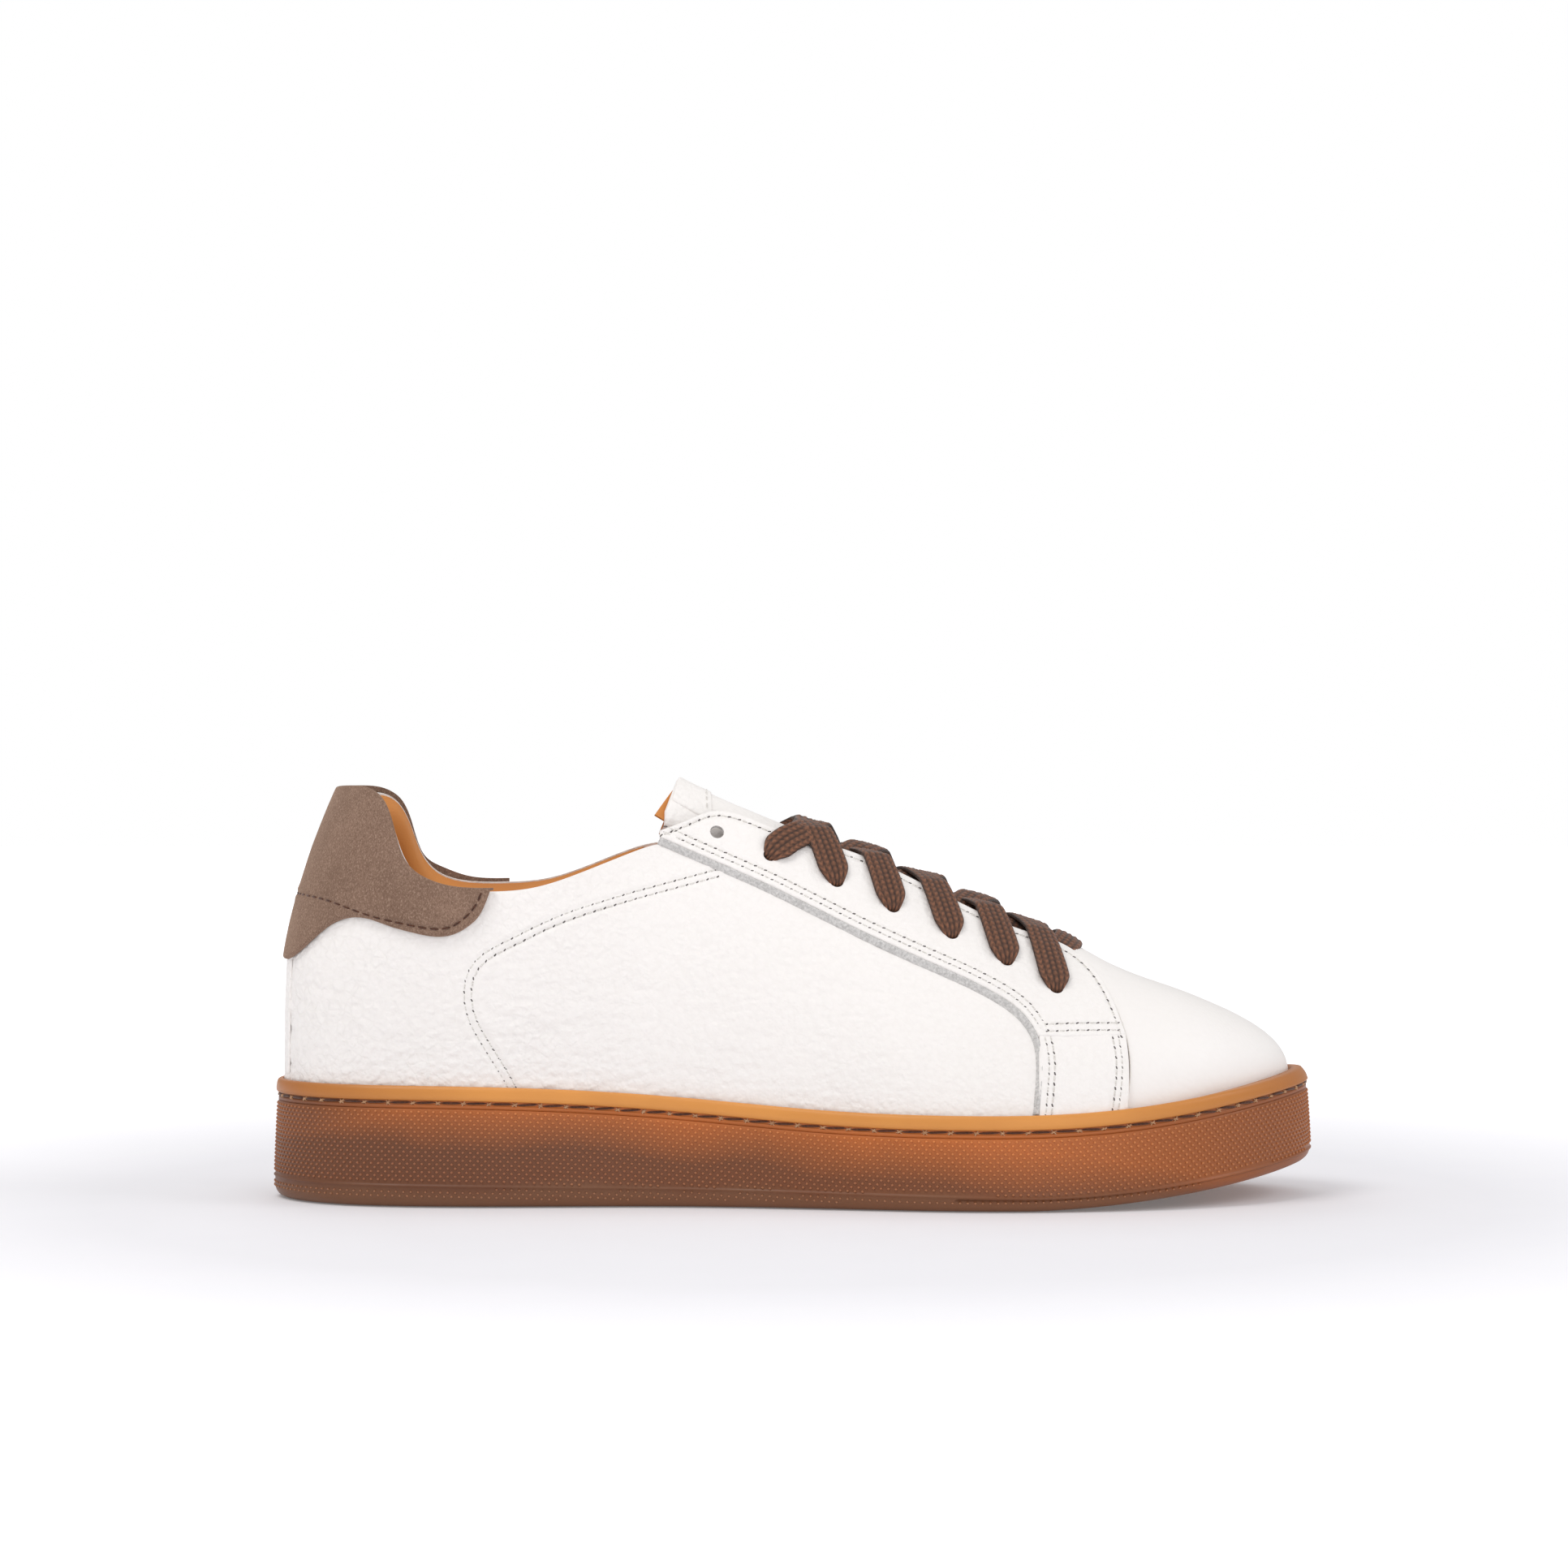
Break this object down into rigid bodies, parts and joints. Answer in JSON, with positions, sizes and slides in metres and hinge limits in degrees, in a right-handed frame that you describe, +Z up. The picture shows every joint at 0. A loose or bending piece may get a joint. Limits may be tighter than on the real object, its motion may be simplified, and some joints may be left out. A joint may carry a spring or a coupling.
{
  "type": "court shoe",
  "caption": "Low leather lace-up court shoe for the right foot: studded cup sole, lasted leather upper, laced throat and hinged padded tongue.",
  "frame": {"origin": "centre of the sole's plan box, on the ground under the shoe", "axes": "+X from the heel to the toe, -Y to the outer (lateral) side of the foot, +Z up"},
  "size_m": [0.3, 0.1005, 0.1216],
  "materials": {
    "white_leather": "pebbled full grain, low sheen",
    "suede": "napped suede, matt",
    "lining_leather": "smooth tan lining, matt",
    "welt_rubber": "smooth tan rubber, satin",
    "sole_rubber": "moulded brown rubber, studded, satin",
    "sole_filler": "closed-cell foam",
    "sole_thread": "waxed thread",
    "lace": "flat braided cotton",
    "foam": "open-cell foam",
    "facing": "cut edge of backing cloth",
    "board": "fibre board",
    "steel": "spring steel strip"
  },
  "bodies": {
    "shoe_body": {"outsole_cup": "sole_rubber", "midsole_filler": "sole_filler", "shank": "steel", "lasting_board": "board", "footbed_foam": "foam", "footbed_cover": "lining_leather", "sidewall_stitching": "sole_thread", "welt_strip": "welt_rubber", "vamp": "white_leather", "toe_puff": "board", "vamp_lining": "lining_leather", "heel_counter": "board", "collar_foam": "foam", "heel_lining": "lining_leather", "heel_tab": "suede", "quarter_lateral": "white_leather", "quarter_medial": "white_leather", "quarter_lining_lateral": "lining_leather", "quarter_lining_medial": "lining_leather", "eyestay_leg_lateral": "white_leather", "eyestay_leg_medial": "white_leather", "eyestay_lateral": "white_leather", "eyestay_medial": "white_leather", "eyestay_facing_lateral": "facing", "eyestay_facing_medial": "facing", "shoelace": "lace"},
    "tongue": {"tongue_leather": "white_leather", "tongue_foam": "foam", "tongue_lining": "lining_leather", "tongue_cap": "white_leather"}
  },
  "joints": [
    {"name": "tongue_hinge", "type": "hinge", "parent": "shoe_body", "child": "tongue", "pos_m": [0.0735, 0.003, 0.069], "axis": [0, 1, 0], "range_deg": [-8, 0], "stiffness_Nm_per_rad": 1.2, "springref_deg": 1.15}
  ]
}
